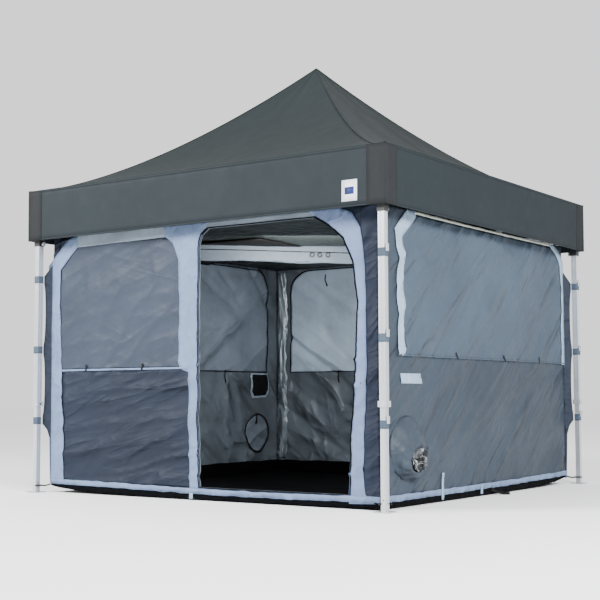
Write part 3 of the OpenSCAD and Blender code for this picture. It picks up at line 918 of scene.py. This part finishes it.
verts = [p + Vector((-0.6, 0.5, 1.2)) * 0.008 * j for p in pts for j in (-1, 0, 1)]
cloth_piece("right_stake_loop", verts, grid_faces(15, 3), mesh_cloth, thick=0.002)
outer = [(u + (0.008 if u > 0.6 else -0.008), v + (0.008 if v > 1 else -0.004)) for u, v in DOOR]
ring_piece("front_door_piping", 0, outer, DOOR, skirt_cloth, 0.0120)

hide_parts("canopy_cover")
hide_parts("tent_walls")
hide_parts("tent_ceiling")
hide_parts("tent_floor")

# Corner wings, and straps with buckles round the legs
STRAPS = [(0.510, 0.0201), (1.020, 0.0231), (1.530, 0.0231)]  # height and half width
STRAP_CORNER = 0.004
STRAP_WIDE = 0.05
for k, c in enumerate(CORNERS):
    d = (LEG - 0.026 - WALL) * math.sqrt(2)
    edge = [
        (d * 0.15, 0.06), (d * 0.22, 0.20), (d * 0.29, 0.38), (d * 0.55, 0.445), (d * 0.85, 0.475), (d, 0.485),
        (d, 0.535),
    ]
    edge += arc(d, 0.765, d * 0.17, 0.215, 260, 100, 10) + [(d, 0.995), (d, 1.045)]
    edge += arc(d, 1.275, d * 0.17, 0.215, 260, 100, 10) + [(d, 1.505), (d, 1.555)]
    loop = [(0.0, 0.055)] + edge + [(0.0, 1.66)]
    v, f = fill(loop, (), 0.02)
    verts = []
    for a, b in v:
        off = 0.003 * nz(a * 9, b * 3, k)
        verts.append(spin((WALL + a / math.sqrt(2) + off, -WALL - a / math.sqrt(2) + off, b), k))
    wing = cloth_piece(c + "_wing", verts, f, wing_cloth)
    if k == 0:
        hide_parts("corner_wings")
    for n, (z, half) in enumerate(STRAPS):
        body = c + "_outer_leg"
        ring = []
        for q in range(4):
            at = math.radians(45 + 90 * q)
            middle = [
                math.copysign(half - STRAP_CORNER, math.cos(at)),
                math.copysign(half - STRAP_CORNER, math.sin(at)),
            ]
            for b in [at - math.radians(45) + math.radians(90 * t / 4) for t in range(5)]:
                ring.append((middle[0] + STRAP_CORNER * math.cos(b), middle[1] + STRAP_CORNER * math.sin(b)))
        verts = []
        for j in range(5):
            zz = z + STRAP_WIDE * (j / 4 - 0.5)
            verts += [spin((LEG + x, -LEG + y, zz + 0.001 * nz(x * 40, y * 40, j)), k) for x, y in ring]
        ob = obj_from(f"{c}_strap_{n + 1}", verts, grid_faces(5, len(ring), closed=True), strap_cloth)
        solid(ob, 0.002)
        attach(ob, body)
        out = LEG + half + 0.0015
        low, high = (out, -LEG - 0.014), (out + 0.009, -LEG + 0.014)
        if k % 2:
            low, high = (LEG - 0.014, -out - 0.009), (LEG + 0.014, -out)
        block(f"{c}_strap_buckle_{n + 1}", (*low, z + 0.004), (*high, z + 0.050), grey_plastic, body, 0.003, k)

# Floor and light
corners = [(60 * x, 60 * y, -0.002) for x, y in ((-1, -1), (1, -1), (1, 1), (-1, 1))]
studio_white = surface("studio floor", (250, 250, 250), 0.9, spread=0.003, scale=0.4)
floor = obj_from("studio_floor", corners, [[0, 1, 2, 3]], studio_white)
world = bpy.data.worlds.new("studio")
bpy.context.scene.world = world
world.use_nodes = True
world.node_tree.nodes["Background"].inputs["Color"].default_value = (1, 1, 1, 1)
world.node_tree.nodes["Background"].inputs["Strength"].default_value = 1.35


def lamp(name, at, to, size, power):
    light = bpy.data.lights.new(name, "AREA")
    light.size = size
    light.energy = power
    ob = add_object(name, light)
    ob.location = at
    ob.rotation_euler = (Vector(to) - Vector(at)).to_track_quat("-Z", "Y").to_euler()


lamp("key_light", (-5.0, -8.0, 6.0), (0, 0, 1.2), 3.0, 1700)
lamp("side_light", (9.5, -6.0, 5.0), (0, 0, 1.2), 2.5, 2300)
lamp("room_light", (0.35, -0.60, 1.60), (-0.9, 1.1, 0.5), 0.7, 55)
